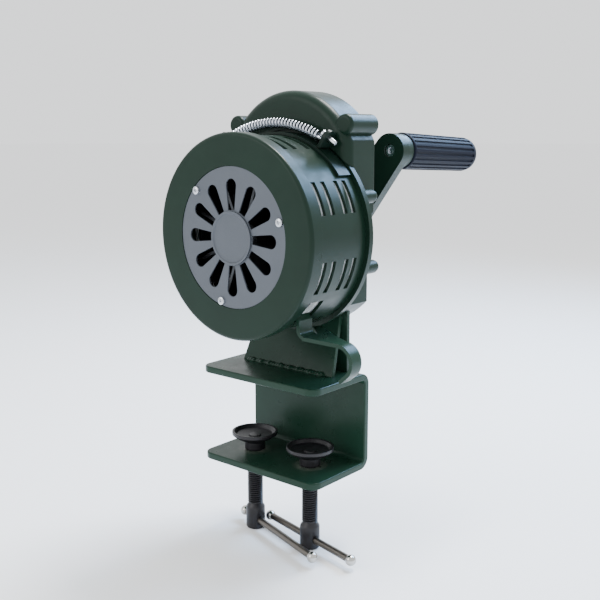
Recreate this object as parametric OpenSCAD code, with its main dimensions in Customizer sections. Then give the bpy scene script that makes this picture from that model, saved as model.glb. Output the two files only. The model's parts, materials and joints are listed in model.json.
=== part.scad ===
// Hand-cranked siren with a table clamp.
// +Z is up, the sound horn faces -Y and the crank is at the back, +Y.
// The origin is the middle of the upper jaw's underside, where the clamp rests on a table top.

/* [Clamp frame] */
// Width of the jaws across the table edge
jaw_w = 128; // [110:1:140]
// Depth of the jaws, front edge to the back of the spine
jaw_d = 75; // [66:1:84]
// Thickness of the clamp's steel plate
plate_t = 6; // [5:0.5:7]
// Clear height between the upper and the lower jaw
jaw_gap = 73; // [68:1:80]
// Outside radius of the two bends in the spine
bend_r = 10; // [8:1:12]
// Radius of the jaws' front corners
corner_r = 10; // [4:1:14]

/* [Clamp screws] */
// Distance between the two clamp screws
screw_pitch = 64; // [56:1:72]
// Place of the screws front to back
screw_y = -3; // [-10:1:4]
// Radius of the clamp screws
screw_r = 7; // [6:0.5:8]
// Underside of the screw heads, below the table face
screw_bottom = 147.5; // [140:0.5:160]
// Radius of the screw heads
head_r = 8.6; // [8:0.1:9]
// Height of the screw heads
head_h = 20; // [16:1:24]
// Height of the cross bars below the table face
bar_z = 139.2; // [132:0.2:146]
// Radius of the cross bars
bar_r = 3; // [2.5:0.25:3.5]
// Length of a cross bar between its ball centres
bar_len = 112; // [90:1:120]
// Radius of the balls on the cross bars
ball_r = 4.6; // [4:0.2:5.5]
// Radius of the pressure pads
pad_r = 20.4; // [16:0.2:22]
// Top of the pads below the table face, clamp open
pad_top = 56; // [54:0.5:58]

/* [Drum] */
// Height of the drum's axis above the table face
drum_z = 124.3; // [122:0.1:130]
// Outside radius of the drum's wall
drum_r = 80; // [78:0.5:82]
// Thickness of the drum's wall
drum_wall = 2.5; // [2:0.5:4]
// Front face of the horn ring, in front of the origin
ring_front = 62.5; // [60:0.5:66]
// Outside radius of the horn ring and of the rear flange
ring_r = 82.5; // [82:0.5:85]
// Radius of the ring's grille seat
seat_r = 56.6; // [54:0.2:60]
// Radius of the drum's rear flange
flange_r = 84; // [83:0.5:86]
// Number of port groups round the drum
port_groups = 8; // [8:1:8]
// Width of a port in degrees
port_deg = 19.5; // [14:0.5:20]
// Angle of the first port group above the horizontal
port_start = 24.75; // [22:0.25:25]

/* [Grille] */
// Number of petals in the grille
petals = 12; // [8:1:16]
// Radius of a petal's round outer end
petal_r = 5.4; // [4:0.1:6]
// Radius of the blank disc in the middle
disc_r = 21.4; // [18:0.2:24]

/* [Shutter] */
// Turn of the shutter from shut to open
shutter_turn = 12; // [10:1:13]
// Thickness of the lever's sheet
lever_t = 3; // [2:0.5:4]
// Radius of the lever's finger curl, middle of the sheet
curl_r = 13; // [10:0.5:15]

/* [Spring] */
// Outside radius of the return spring
spring_r = 4.3; // [3.5:0.1:5]
// Radius of the arch the spring lies along
spring_arc_r = 109.3; // [105:0.1:112]

/* [Gear train] */
// Module of the gears
gear_m = 1; // [1:1:1]
// Teeth of each wheel
wheel_teeth = 78; // [70:1:78]
// Teeth of each pinion
pinion_teeth = 14; // [14:1:22]
// Play between the teeth, at the pitch circle
backlash = 0.24; // [0.15:0.01:0.3]

/* [Gear housing] */
// Radius of the housing's round top
lobe_r = 70; // [66:0.5:72]
// Half width of the housing
housing_half = 58.5; // [56:0.5:62]
// Depth of the housing without its cover
housing_d = 25.5; // [25:0.5:30]
// Thickness of the housing's walls
housing_wall = 4; // [3:0.5:5]

/* [Crank] */
// Sideways reach of the crank arm
crank_x = 52.2; // [48:0.1:56]
// Upward reach of the crank arm
crank_up = 66.6; // [62:0.2:74]
// Front face of the crank arm, behind the origin
crank_y = 78; // [76:0.5:82]
// Thickness of the crank arm
crank_t = 10; // [8:0.5:12]
// Radius of the grip
grip_r = 16; // [12:0.5:18]
// Length of the grip
grip_len = 118; // [90:1:125]
// Lean of the grip towards the crank's axis, in degrees
grip_lean = 3; // [0:0.5:4]

/* [Hidden] */
$fn = 96;
eps = 0.01;
run_fit = 0.05;

// Paint and metal colours
green = "#3b5a4d";
dark_green = "#2f473d";
silver_grey = "#a9abb2";
bright_steel = "#c9ccd0";
black_oxide = "#2b2b2e";
navy_rubber = "#23262f";
alloy = "#d4d6d8";
bronze = "#b0874a";

// Clamp frame
jaw_back = jaw_d / 2;
jaw_inner_r = bend_r - plate_t;

// Drum, front to back
drum_front = -(ring_front - 5.3);
ring_back = -50;
flange_front = 7;
flange_back = 12;
back_wall = 4;
hub_r = 15;
seat_depth = 2;
ledge_r = 50.5;
rim_fillet = 3;
grille_t = 1.5;

// Port rows: front edge of each and their width
port_rows = [-45, -33.7, -18, -7.6];
port_w = 5;

// Shutter
sleeve_out = drum_r - drum_wall - 0.6;
sleeve_in = sleeve_out - 3.4;
sleeve_front = drum_front + 0.4;
sleeve_back = flange_back - back_wall - 0.4;
strap_in = drum_r + 0.4;
strap_out = strap_in + 2.2;
strap_y0 = -10;
strap_y1 = 4.6;
strap_a0 = 36.6;
strap_a1 = 133;
foot_a0 = 39.5;
foot_a1 = 44.5;
foot_y0 = -7.5;
foot_y1 = -1.5;
lever_a = -50.5;
lever_y0 = -43;
lever_y1 = -27;
lever_z = 48.5;
curl_y0 = -46;
curl_y1 = -34;
post_a = 130.5;
post_r = 101;

// Return spring, in the plane it lies in
spring_y = -3;
spring_cx = -6.5;
spring_cz = 104.9;
spring_a0 = 64.5;
spring_a1 = 118;
bracket_a = 57.5;
bracket_t = 3.2;
bracket_r = 6.5;
pin_r = 92.5;

// Gear train: the layshaft lies above the common axis of the rotor and the crank
centre_gap = gear_m * (wheel_teeth + pinion_teeth) / 2;
lay_z = drum_z + centre_gap;
lobe_z = 170.6;
lobe_half = 64;
pressure_angle = 20;
wheel_add = 0.8;
pinion_add = 1;
dedendum = 1.25;
lay_wheel_y = 19;
crank_wheel_y = 28;
wheel_face = 6;
pinion_face = 7;

// Housing, front to back
housing_y = flange_back;
lobe_front = 4;
boss_front = 5;
flange_gap = 0.4;
cover_y = housing_y + housing_d;
cover_t = 3.5;
lower_r = 82.3;
front_fillet = 8;
crank_hub_end = 72;
shaft_r = 7;
bush_wall = 2.5;
lay_r = 5;
bearing_out = 11;
bearing_in = 4;
bearing_w = 7;
bearing_ys = [-1, 9];
cover_spots = [[58.5, 212.5], [-58.5, 212.5], [50.5, 136], [-50.5, 136], [33, 60.5], [-33, 60.5]];
boss_r = 8.4;
ear_angles = [24, -19, 156, 199];
ear_r = 77.5;
ear_boss = 5.6;
ear_d = 14;

// Pedestal
pedestal_half = 50;
pedestal_foot_half = 50.5;
pedestal_top_half = 43.5;
pedestal_t = 4;
pedestal_foot = 3;
pedestal_slope = 0.37;
pedestal_rear = 24;
foot_bolt_x = 20;
foot_bolt_z = 32;

// Crank
arm_len = norm([crank_x, crank_up]);
arm_a = atan2(crank_up, crank_x);
arm_big = 18.5;
arm_small = 15;
arm_tuck = 0.03;
spindle_r = 4;
collar_len = 6.5;

// Turns a shape drawn in X-Y and raised along Z so that it lies in X-Z and runs along +Y
module along_y(y = 0) {
    translate([0, y, 0]) rotate([90, 0, 0]) mirror([0, 0, 1]) children();
}

// Cylinder along +Y
module rod_y(r, y0, y1, x = 0, z = 0) {
    along_y(y0) translate([x, z, 0]) cylinder(r = r, h = y1 - y0);
}

// Ring along +Y
module ring_y(r_out, r_in, y0, y1, x = 0, z = 0) {
    difference() {
        rod_y(r_out, y0, y1, x, z);
        rod_y(r_in, y0 - eps, y1 + eps, x, z);
    }
}

// Solid turned about a line along Y at x, z: the profile's points are [radius, y]
module turned_y(profile, x = 0, z = 0) {
    along_y() translate([x, z, 0]) rotate_extrude() polygon(profile);
}

// Part of a ring round the drum's axis, from angle a0 to a1 above the horizontal
module drum_sector(r0, r1, y0, y1, a0, a1) {
    along_y(y0) translate([0, drum_z, 0]) rotate([0, 0, a0]) rotate_extrude(angle = a1 - a0)
        translate([r0, 0]) square([r1 - r0, y1 - y0]);
}

// Point on a circle
function at(r, a) = [r * cos(a), r * sin(a)];

// Arc as a list of points
function arc(c, r, a0, a1, n) = [for (i = [0:n]) c + at(r, a0 + (a1 - a0) * i / n)];

// Unit vector square to the way from p to q
function side(p, q) = [p[1] - q[1], q[0] - p[0]] / norm(q - p);

// Mitred offset of point i of a path
function mitre(path, i) =
    let (a = i > 0 ? side(path[i - 1], path[i]) : side(path[i], path[i + 1]))
    let (b = i < len(path) - 1 ? side(path[i], path[i + 1]) : a)
    (a + b) / (1 + a * b);

// Outline of a bent strip of thickness t along a path
function strip(path, t) = concat(
    [for (i = [0:len(path) - 1]) path[i] + mitre(path, i) * t / 2],
    [for (i = [len(path) - 1:-1:0]) path[i] - mitre(path, i) * t / 2]
);

// Involute function, in degrees
function inv(a) = tan(a) * 180 / PI - a;

// Half the angle of a tooth at radius r
function tooth_half(r, teeth) =
    let (pitch = gear_m * teeth / 2)
    let (base = pitch * cos(pressure_angle))
    90 / teeth - backlash / 4 / pitch * 180 / PI + inv(pressure_angle)
    - (r > base ? inv(acos(base / r)) : 0);

// One flank of a tooth from root to tip, as [radius, half angle]
function flank(teeth, add) =
    let (pitch = gear_m * teeth / 2)
    let (root = pitch - dedendum * gear_m)
    let (start = max(root, pitch * cos(pressure_angle)))
    let (tip = pitch + add * gear_m)
    concat(
        [[root, tooth_half(start, teeth)]],
        [for (i = [start > root ? 0 : 1:4]) let (r = start + (tip - start) * i / 4) [r, tooth_half(r, teeth)]]
    );

// Outline of a gear with a tooth centred on angle a0
function gear_outline(teeth, add, a0) = [
    for (k = [0:teeth - 1])
        let (a = a0 + 360 * k / teeth)
        let (f = flank(teeth, add))
        for (p = concat([for (q = f) [q[0], a - q[1]]], [for (i = [len(f) - 1:-1:0]) [f[i][0], a + f[i][1]]]))
            at(p[0], p[1])
];

// Gear along +Y
module gear_y(teeth, add, a0, y, face, bore, z) {
    along_y(y) translate([0, z, 0]) difference() {
        linear_extrude(face) polygon(gear_outline(teeth, add, a0));
        translate([0, 0, -eps]) cylinder(r = bore, h = face + 2 * eps);
    }
}

// Pan-head screw pointing along +Y from the face at y
module pan_screw(x, y, z, head, head_t, shank, length) {
    rod_y(head, y - head_t, y, x, z);
    rod_y(shank, y - eps, y + length, x, z);
}

// Square with both front corners rounded, seen from above
module front_rounded(half, y0, y1, r) {
    translate([-half, y0 + r]) square([2 * half, y1 - y0 - r]);
    translate([-half + r, y0]) square([2 * (half - r), r + eps]);
    for (s = [-1, 1]) translate([s * (half - r), y0 + r]) circle(r);
}

// Rounded square in Y-Z with its far upper and lower corners rounded
module bend_outline(y0, y1, z0, z1, r) {
    translate([y0, z0]) square([y1 - y0 - r, z1 - z0]);
    translate([y0, z0 + r]) square([y1 - y0, z1 - z0 - 2 * r]);
    for (z = [z0 + r, z1 - r]) translate([y1 - r, z]) circle(r);
}

// Extrudes a Y-Z outline along X, centred
module along_x(width) {
    rotate([90, 0, 90]) translate([0, 0, -width / 2]) linear_extrude(width) children();
}

// ---- Clamp ----

module clamp_frame() {
    low = -jaw_gap - plate_t;
    color(green) difference() {
        intersection() {
            along_x(jaw_w) difference() {
                bend_outline(-jaw_back, jaw_back, low, plate_t, bend_r);
                bend_outline(-jaw_back - 1, jaw_back - plate_t, -jaw_gap, 0, jaw_inner_r);
            }
            translate([0, 0, low - 1]) linear_extrude(jaw_gap + 2 * plate_t + 2)
                front_rounded(jaw_w / 2, -jaw_back, jaw_back + eps, corner_r);
        }
        for (s = [-1, 1]) translate([s * screw_pitch / 2, screw_y, low - 1])
            cylinder(r = screw_r + run_fit, h = plate_t + 2);
    }
}

// Screw with a plain head, its thread's outer cylinder and the spigot that carries the pad
module clamp_screw(x) {
    color(black_oxide) translate([x, screw_y, 0]) difference() {
        union() {
            translate([0, 0, -screw_bottom]) cylinder(r = head_r - 1, h = 1);
            translate([0, 0, -screw_bottom + 1]) cylinder(r = head_r, h = head_h - 1);
            translate([0, 0, -screw_bottom + head_h]) cylinder(r1 = head_r, r2 = screw_r, h = 3);
            translate([0, 0, -screw_bottom + head_h]) cylinder(r = screw_r, h = screw_bottom - head_h - 69);
            translate([0, 0, -70]) cylinder(r = 4.5, h = 10);
            translate([0, 0, -60.3]) cylinder(r = 5.6, h = 1);
        }
        translate([0, 0, -bar_z]) rotate([0, 0, bar_turn(x)]) rotate([0, 90, 0])
            translate([0, 0, -head_r - 1]) cylinder(r = bar_r + run_fit, h = 2 * head_r + 2);
    }
}

// Dished pad that swivels on the screw's spigot
module pressure_pad(x) {
    color(black_oxide) translate([x, screw_y, -pad_top]) rotate_extrude() polygon([
        [4.55, -4.4], [6.5, -4.4], [16, -3], [pad_r - 2, 0], [pad_r, 0], [pad_r, -3], [16, -6.2],
        [9, -9.5], [9, -16.5], [7.4, -16.5], [7.4, -12.8], [4.55, -12.8]
    ]);
}

// Turn of a cross bar about its screw
function bar_turn(x) = x < 0 ? -17.2 : -12.3;

// Distances of the two ball centres from the screw's axis, along the bar
function bar_ends(x) = x < 0 ? [-18.5, bar_len - 18.5] : [-58, bar_len - 58];

module bar_frame(x) {
    translate([x, screw_y, -bar_z]) rotate([0, 0, bar_turn(x)]) rotate([0, 90, 0]) children();
}

module cross_bar(x) {
    color(bright_steel) bar_frame(x) translate([0, 0, bar_ends(x)[0] + 2])
        cylinder(r = bar_r, h = bar_len - 4);
}

module bar_balls(x) {
    color(bright_steel) bar_frame(x) difference() {
        for (e = bar_ends(x)) translate([0, 0, e]) sphere(ball_r);
        translate([0, 0, bar_ends(x)[0] + 2]) cylinder(r = bar_r, h = bar_len - 4);
    }
}

// ---- Pedestal ----

module pedestal() {
    top = 62;
    lean = pedestal_foot + pedestal_slope * (top - plate_t);
    color(green) difference() {
        union() {
            intersection() {
                along_x(2 * pedestal_foot_half) polygon([
                    [pedestal_foot, plate_t], [pedestal_foot + pedestal_t, plate_t],
                    [lean + pedestal_t, top], [lean, top]
                ]);
                along_y(-10) linear_extrude(60) polygon([
                    [-pedestal_foot_half, plate_t], [pedestal_foot_half, plate_t],
                    [pedestal_top_half, top], [-pedestal_top_half, top]
                ]);
            }
            translate([-pedestal_half, pedestal_rear, plate_t])
                cube([2 * pedestal_half, pedestal_t, top - plate_t]);
        }
        rod_y(lower_r, -40, 60, 0, drum_z);
        for (s = [-1, 1])
            rod_y(4.2, pedestal_rear - 1, pedestal_rear + pedestal_t + 1, s * foot_bolt_x, foot_bolt_z);
    }
}

// Two bolts with their nuts, through the rear plate and the housing's foot
module pedestal_bolts() {
    back = cover_y;
    color(bright_steel) for (s = [-1, 1]) {
        along_y(back) translate([s * foot_bolt_x, foot_bolt_z, 0]) cylinder(r = 7.2, h = 5, $fn = 6);
        rod_y(4, pedestal_rear - 5, back + eps, s * foot_bolt_x, foot_bolt_z);
        along_y(pedestal_rear - 5) translate([s * foot_bolt_x, foot_bolt_z, 0]) difference() {
            cylinder(r = 7.2, h = 5, $fn = 6);
            translate([0, 0, -eps]) cylinder(r = 3.9, h = 5 + 2 * eps);
        }
    }
}

// ---- Gear housing ----

// Disc along +Y whose front edge is rounded
module round_front_disc(r, y0, y1, f, z, x = 0) {
    turned_y(concat([[0, y1], [0, y0]], arc([r - f, y0 + f], f, -90, 0, 10), [[r, y1]]), x, z);
}

// Upright slab whose two front edges are rounded
module round_front_slab(half, y0, y1, f, z0, z1) {
    translate([0, 0, z0]) linear_extrude(z1 - z0) front_rounded(half, y0, y1, f);
}

// The housing's outer form from y0 to y1, shrunk all round by gap
module housing_form(y0, y1, f, gap) {
    half = housing_half - gap;
    intersection() {
        round_front_disc(lobe_r - gap, y0, y1, f, lobe_z);
        round_front_slab(lobe_half - gap, y0, y1, f, 100, 260);
    }
    round_front_slab(half, y0, y1, f, 78, 160);
    intersection() {
        round_front_disc(lower_r - gap, y0, y1, f, drum_z);
        round_front_slab(half, y0, y1, f, 20, 110);
    }
}

// The housing's form from its front to y1, set in all round.
// Its round top reaches forward over the drum's flange.
module stepped_form(y1, f, set_in) {
    difference() {
        housing_form(lobe_front + set_in, y1, f, set_in);
        rod_y(flange_r + flange_gap + set_in, lobe_front - 1, housing_y + set_in, 0, drum_z);
    }
}

module housing_bosses(y0, y1) {
    for (p = cover_spots) rod_y(boss_r, y0, y1, p[0], p[1]);
}

module gear_housing() {
    color(green) difference() {
        union() {
            difference() {
                union() {
                    stepped_form(cover_y, front_fillet, 0);
                    for (a = ear_angles) {
                        rod_y(ear_boss, housing_y, housing_y + ear_d, ear_x(a), ear_z(a));
                        ear_web(a);
                    }
                    translate([-32, pedestal_rear + pedestal_t, 22])
                        cube([64, cover_y - pedestal_rear - pedestal_t, 26]);
                }
                stepped_form(cover_y + 1, front_fillet - housing_wall, housing_wall);
            }
            housing_bosses(housing_y, cover_y);
            for (p = [cover_spots[0], cover_spots[1]])
                round_front_disc(boss_r, boss_front, housing_y + 1, 3, p[1], p[0]);
            rod_y(hub_r, bearing_ys[0] - 1, 17, 0, drum_z);
            rod_y(10, housing_y, 18, 0, lay_z);
        }
        for (y = bearing_ys) rod_y(bearing_out, y, y + bearing_w, 0, drum_z);
        rod_y(bearing_out, bearing_ys[0] - 2, bearing_ys[0] + 1, 0, drum_z);
        rod_y(bearing_out, bearing_ys[1] + 1, 20, 0, drum_z);
        rod_y(9, 0, 14, 0, drum_z);
        rod_y(lay_r + 1.5, 13, 19, 0, lay_z);
        for (p = cover_spots) rod_y(2.5, cover_y - 14, cover_y + 1, p[0], p[1]);
        for (a = ear_angles) rod_y(3.2, housing_y - 1, housing_y + ear_d + 1, ear_x(a), ear_z(a));
        for (s = [-1, 1]) rod_y(4.2, 20, cover_y + 1, s * foot_bolt_x, foot_bolt_z);
    }
}

// Place of the screw ear at angle a
function ear_x(a) = at(ear_r, a)[0];
function ear_z(a) = drum_z + at(ear_r, a)[1];

// Web that joins a screw ear to the side wall
module ear_web(a) {
    x = ear_x(a);
    s = sign(x);
    translate([min(x, s * (housing_half - 2)), housing_y, ear_z(a) - 4])
        cube([abs(x) - housing_half + 2, ear_d, 8]);
}

module rear_cover() {
    color(green) difference() {
        union() {
            mirror([0, 1, 0]) housing_form(-cover_y - cover_t, -cover_y, cover_t / 2, 0);
            housing_bosses(cover_y, cover_y + cover_t);
            turned_y([
                [0, cover_y], [24, cover_y], [24, cover_y + cover_t],
                [17, 54], [14, crank_hub_end], [0, crank_hub_end]
            ], 0, drum_z);
            rod_y(12, cover_y - 2, cover_y + cover_t + 3, 0, lay_z);
        }
        rod_y(shaft_r + bush_wall, cover_y - 1, 50, 0, drum_z);
        rod_y(shaft_r + 1, 49, 63, 0, drum_z);
        rod_y(shaft_r + bush_wall, 62, crank_hub_end + 1, 0, drum_z);
        rod_y(lay_r + 1.5, cover_y - 3, cover_y + cover_t, 0, lay_z);
        for (p = cover_spots) rod_y(3.2, cover_y - 1, cover_y + cover_t + 1, p[0], p[1]);
    }
}

module cover_screws() {
    back = cover_y + cover_t;
    color(bright_steel) for (p = cover_spots) {
        rod_y(5, back, back + 3.4, p[0], p[1]);
        rod_y(2.45, cover_y - 12, back + eps, p[0], p[1]);
    }
}

module flange_screws() {
    back = housing_y + ear_d;
    color(green) for (a = ear_angles) {
        rod_y(5, back, back + 3.6, ear_x(a), ear_z(a));
        rod_y(2.95, flange_front + 1, back + eps, ear_x(a), ear_z(a));
    }
}

// ---- Drum ----

module drum_ports() {
    for (k = [0:port_groups - 1], y = port_rows)
        drum_sector(sleeve_out, drum_r + 2, y, y + port_w,
            port_start + 45 * k - port_deg / 2, port_start + 45 * k + port_deg / 2);
}

module drum_body() {
    color(green) difference() {
        union() {
            ring_y(drum_r, drum_r - drum_wall, drum_front, flange_back, 0, drum_z);
            ring_y(flange_r, drum_r - 1, flange_front, flange_back, 0, drum_z);
            ring_y(drum_r - 1, hub_r + 0.1, flange_back - back_wall, flange_back, 0, drum_z);
        }
        drum_ports();
        drum_sector(70, 82, foot_y0 - 0.7, foot_y1 + 0.7, foot_a0 - 2.6, foot_a1 + shutter_turn + 1);
        drum_sector(70, 82, lever_y0 - 0.8, lever_y1 + 0.8, lever_a - 3.5, lever_a + shutter_turn + 2.5);
        for (a = ear_angles) rod_y(3, flange_front + 1, flange_back + 1, ear_x(a), ear_z(a));
        radial_holes(2.05);
    }
}

ring_screw_angles = [-6, 114, 234];
ring_screw_y = -53.5;

module radial_holes(r) {
    for (a = ring_screw_angles) translate([0, ring_screw_y, drum_z]) rotate([0, -a, 0])
        translate([drum_r - drum_wall - 1, 0, 0]) rotate([0, 90, 0]) cylinder(r = r, h = 10);
}

module ring_screws() {
    color(green) for (a = ring_screw_angles) translate([0, ring_screw_y, drum_z]) rotate([0, -a, 0])
        rotate([0, 90, 0]) {
            translate([0, 0, drum_r - drum_wall + 0.2]) cylinder(r = 2, h = drum_wall + 1.4);
            translate([0, 0, 81.5]) cylinder(r = 2.6, h = 0.9);
        }
}

module front_ring() {
    f = rim_fillet;
    color(green) difference() {
        turned_y(concat(
            [[seat_r, -ring_front]], arc([ring_r - f, -ring_front + f], f, -90, 0, 10),
            [[ring_r, ring_back], [drum_r + 0.05, ring_back], [drum_r + 0.05, drum_front],
             [ledge_r, drum_front], [ledge_r, seat_depth - ring_front], [seat_r, seat_depth - ring_front]]
        ), 0, drum_z);
        radial_holes(2.05);
        for (a = ring_screw_angles) translate([0, ring_screw_y, drum_z]) rotate([0, -a, 0])
            translate([81.5, 0, 0]) rotate([0, 90, 0]) cylinder(r = 2.65, h = 5);
        grille_holes(1.8, -ring_front, drum_front + 1);
    }
}

// ---- Grille ----

grille_front = seat_depth - ring_front - grille_t;
grille_screw_angles = [137, 17, 257];
grille_screw_r = 52.8;

module grille_holes(r, y0, y1) {
    for (a = grille_screw_angles)
        rod_y(r, y0, y1, at(grille_screw_r, a)[0], drum_z + at(grille_screw_r, a)[1]);
}

// Petal opening: round outer end, narrow inner end
module petal() {
    inner = 3.3;
    centre = 41.3;
    lean = asin((petal_r - inner) / (centre - 22));
    polygon(concat([[22, -inner]], arc([centre, 0], petal_r, -90 - lean, 90 + lean, 20), [[22, inner]]));
}

module grille() {
    color(silver_grey) difference() {
        along_y(grille_front) translate([0, drum_z, 0]) linear_extrude(grille_t) difference() {
            circle(seat_r - 0.2);
            for (k = [0:petals - 1]) rotate([0, 0, 90 + 360 / petals * k]) petal();
        }
        grille_holes(2.1, -ring_front - 1, drum_front + 1);
    }
}

module grille_screws() {
    color(bright_steel) for (a = grille_screw_angles) {
        x = at(grille_screw_r, a)[0];
        z = drum_z + at(grille_screw_r, a)[1];
        difference() {
            pan_screw(x, grille_front, z, 3.4, 2, 1.75, 5);
            along_y(grille_front - 2.5) translate([x, z, 0]) cylinder(r = 1.4, h = 1.6, $fn = 6);
        }
    }
}

module centre_disc() {
    color(silver_grey) turned_y([
        [0, grille_front], [disc_r, grille_front], [disc_r, grille_front - 1.6],
        [disc_r - 1.6, grille_front - 1.6], [disc_r - 2.6, grille_front - 0.5], [0, grille_front - 0.5]
    ], 0, drum_z);
}

// ---- Shutter ----

module shutter_sleeve() {
    color(alloy) difference() {
        ring_y(sleeve_out, sleeve_in, sleeve_front, sleeve_back, 0, drum_z);
        for (k = [0:port_groups - 1], y = [port_rows[0], port_rows[2]])
            drum_sector(sleeve_in - 1, sleeve_out + 1, y - 0.5, y + 16.6,
                port_start + 45 * k - port_deg / 2 - 20, port_start + 45 * k - port_deg / 2 - 1);
    }
}

// Strap over the drum's top, with a foot through the drum's wall and a post for the spring
module shutter_strap() {
    color(dark_green) difference() {
        union() {
            drum_sector(strap_in, strap_out, strap_y0, strap_y1, strap_a0, strap_a1);
            drum_sector(sleeve_out, strap_in + 1, foot_y0, foot_y1, foot_a0, foot_a1);
            drum_sector(strap_out - 1, post_r + 4,
                spring_y - 1.5, spring_y + 1.5, post_a - 2.4, post_a + 2.4);
        }
        rod_y(2.2, spring_y - 3, spring_y + 3, at(post_r, post_a)[0], drum_z + at(post_r, post_a)[1]);
    }
}

// Middle lines of the lever's sheet: its root through the drum's wall, and the finger curl
root = [0, drum_z] + at(sleeve_out, lever_a);
knee = [0, drum_z] + at(drum_r + 1.8, lever_a);
curl_c = [93, lever_z - curl_r];
root_path = concat([root, knee], arc([knee[0] + 6, lever_z + 6], 6, 180, 270, 6), [[knee[0] + 12, lever_z]]);
curl_path = concat(
    [[curl_c[0] - 2, lever_z]],
    arc(curl_c, curl_r, 90, -50, 16),
    [curl_c + at(curl_r, -50) + 8 * at(1, -140)]
);

module shutter_lever() {
    color(green) {
        along_y(lever_y0) linear_extrude(lever_y1 - lever_y0) polygon(strip(root_path, lever_t));
        along_y(curl_y0) linear_extrude(curl_y1 - curl_y0) polygon(strip(curl_path, lever_t));
        translate([0, 0, lever_z - lever_t / 2]) linear_extrude(lever_t) polygon([
            [knee[0] + 6, lever_y0 - 2], [curl_c[0], curl_y0], [curl_c[0], curl_y1], [75.6, -24.5],
            [42, -1], [38, -8], [knee[0] + 6, lever_y1 + 1]
        ]);
    }
}

// Rivets that hold the lever to the sleeve
module shutter_rivets() {
    color(bright_steel) for (y = [lever_y0 + 4, lever_y1 - 4]) translate([0, y, drum_z])
        rotate([0, 90 - lever_a, 0]) translate([0, 0, sleeve_in - 1.26]) cylinder(r = 2.6, h = 1.2);
}

// ---- Return spring ----

module return_spring() {
    color(bright_steel) translate([spring_cx, spring_y, spring_cz]) along_y()
        rotate([0, 0, spring_a0]) rotate_extrude(angle = spring_a1 - spring_a0)
            translate([spring_arc_r, 0]) circle(spring_r);
}

// Lug on the housing's front face that holds the spring's fixed end: an upright tab with a round top
module spring_bracket() {
    color(dark_green) difference() {
        union() {
            spring_screw_frame() translate([0, 0, -bracket_t / 2]) cylinder(r = bracket_r, h = bracket_t);
            spring_screw_frame() translate([flange_r - pin_r, -bracket_r, -bracket_t / 2])
                cube([pin_r - flange_r, 2 * bracket_r, bracket_t]);
            spring_screw_frame() translate([flange_r - pin_r, spring_y - lobe_front, -bracket_t / 2])
                cube([3.4, lobe_front - spring_y, bracket_t]);
        }
        spring_screw_frame() translate([0, 0, -10]) cylinder(r = 2.25, h = 20);
    }
}

// Frame of the tension pin: +Z runs along the tangent, away from the spring, and +X points outwards
module spring_screw_frame() {
    translate([0, spring_y, drum_z]) rotate([0, -bracket_a, 0]) translate([pin_r, 0, 0])
        rotate([180, 0, 0]) children();
}

module spring_screw() {
    color(bright_steel) spring_screw_frame() {
        translate([0, 0, -6]) cylinder(r = 2.2, h = 14);
        translate([0, 0, 8]) cylinder(r1 = 2.2, r2 = 1.5, h = 1);
        translate([0, 0, -6]) cylinder(r = 3.2, h = 2);
    }
}

// ---- Rotor ----

rotor_r = 71.5;
rotor_front = drum_front + 4;
rotor_back = -4;
rotor_wall = 3;
rotor_lag = 22.5;

module rotor() {
    hub = 12;
    color(alloy) difference() {
        union() {
            ring_y(rotor_r, rotor_r - rotor_wall, rotor_front, rotor_back, 0, drum_z);
            rod_y(rotor_r, rotor_back - 4, rotor_back, 0, drum_z);
            rod_y(hub, rotor_front + 8, rotor_back, 0, drum_z);
            intersection() {
                for (k = [0:port_groups - 1]) translate([0, 0, drum_z]) rotate([0, -(port_start + 45 * k), 0])
                    translate([hub - 2, rotor_front + 3, -1.2])
                        cube([rotor_r - hub, rotor_back - rotor_front - 5, 2.4]);
                rod_y(rotor_r - 1, rotor_front, rotor_back, 0, drum_z);
            }
        }
        for (k = [0:port_groups - 1], y = [port_rows[0], port_rows[2]])
            drum_sector(rotor_r - rotor_wall - 1, rotor_r + 1, y, y + 15.5,
                port_start + rotor_lag + 45 * k - 10, port_start + rotor_lag + 45 * k + 10);
        rod_y(bearing_in, rotor_front, rotor_back + 1, 0, drum_z);
    }
}

module rotor_shaft() {
    color(bright_steel) {
        rod_y(bearing_in - 0.02, rotor_front + 2, 26, 0, drum_z);
    }
}

module rotor_nut() {
    color(bright_steel) along_y(rotor_front + 3) translate([0, drum_z, 0]) difference() {
        cylinder(r = 7.5, h = 5 - eps, $fn = 6);
        translate([0, 0, -eps]) cylinder(r = bearing_in - 0.02, h = 6);
    }
}

module rotor_bearings() {
    color(silver_grey) for (y = bearing_ys) ring_y(bearing_out, bearing_in, y, y + bearing_w, 0, drum_z);
}

// ---- Gears ----

// The pinions have a gap where the wheels have a tooth, on the line between the centres
module rotor_pinion() {
    color(bright_steel) gear_y(pinion_teeth, pinion_add, 90 + 180 / pinion_teeth,
        lay_wheel_y - 0.5, pinion_face, bearing_in - 0.02, drum_z);
}

// Six holes through a wheel's web
module lightening_holes(y, z) {
    for (k = [0:5]) rod_y(9, y - 1, y + wheel_face + 2, at(23, 60 * k)[0], z + at(23, 60 * k)[1]);
}

module layshaft_wheel() {
    color(bright_steel) difference() {
        gear_y(wheel_teeth, wheel_add, -90, lay_wheel_y, wheel_face, lay_r, lay_z);
        lightening_holes(lay_wheel_y, lay_z);
    }
}

module layshaft_pinion() {
    color(bright_steel) gear_y(pinion_teeth, pinion_add, -90 + 180 / pinion_teeth,
        crank_wheel_y - 0.5, pinion_face, lay_r, lay_z);
}

module crank_wheel() {
    color(bright_steel) difference() {
        gear_y(wheel_teeth, wheel_add, 90, crank_wheel_y, wheel_face, shaft_r, drum_z);
        lightening_holes(crank_wheel_y, drum_z);
    }
}

module layshaft() {
    color(bright_steel) rod_y(lay_r, 13.5, cover_y + cover_t - 0.5, 0, lay_z);
}

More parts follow.
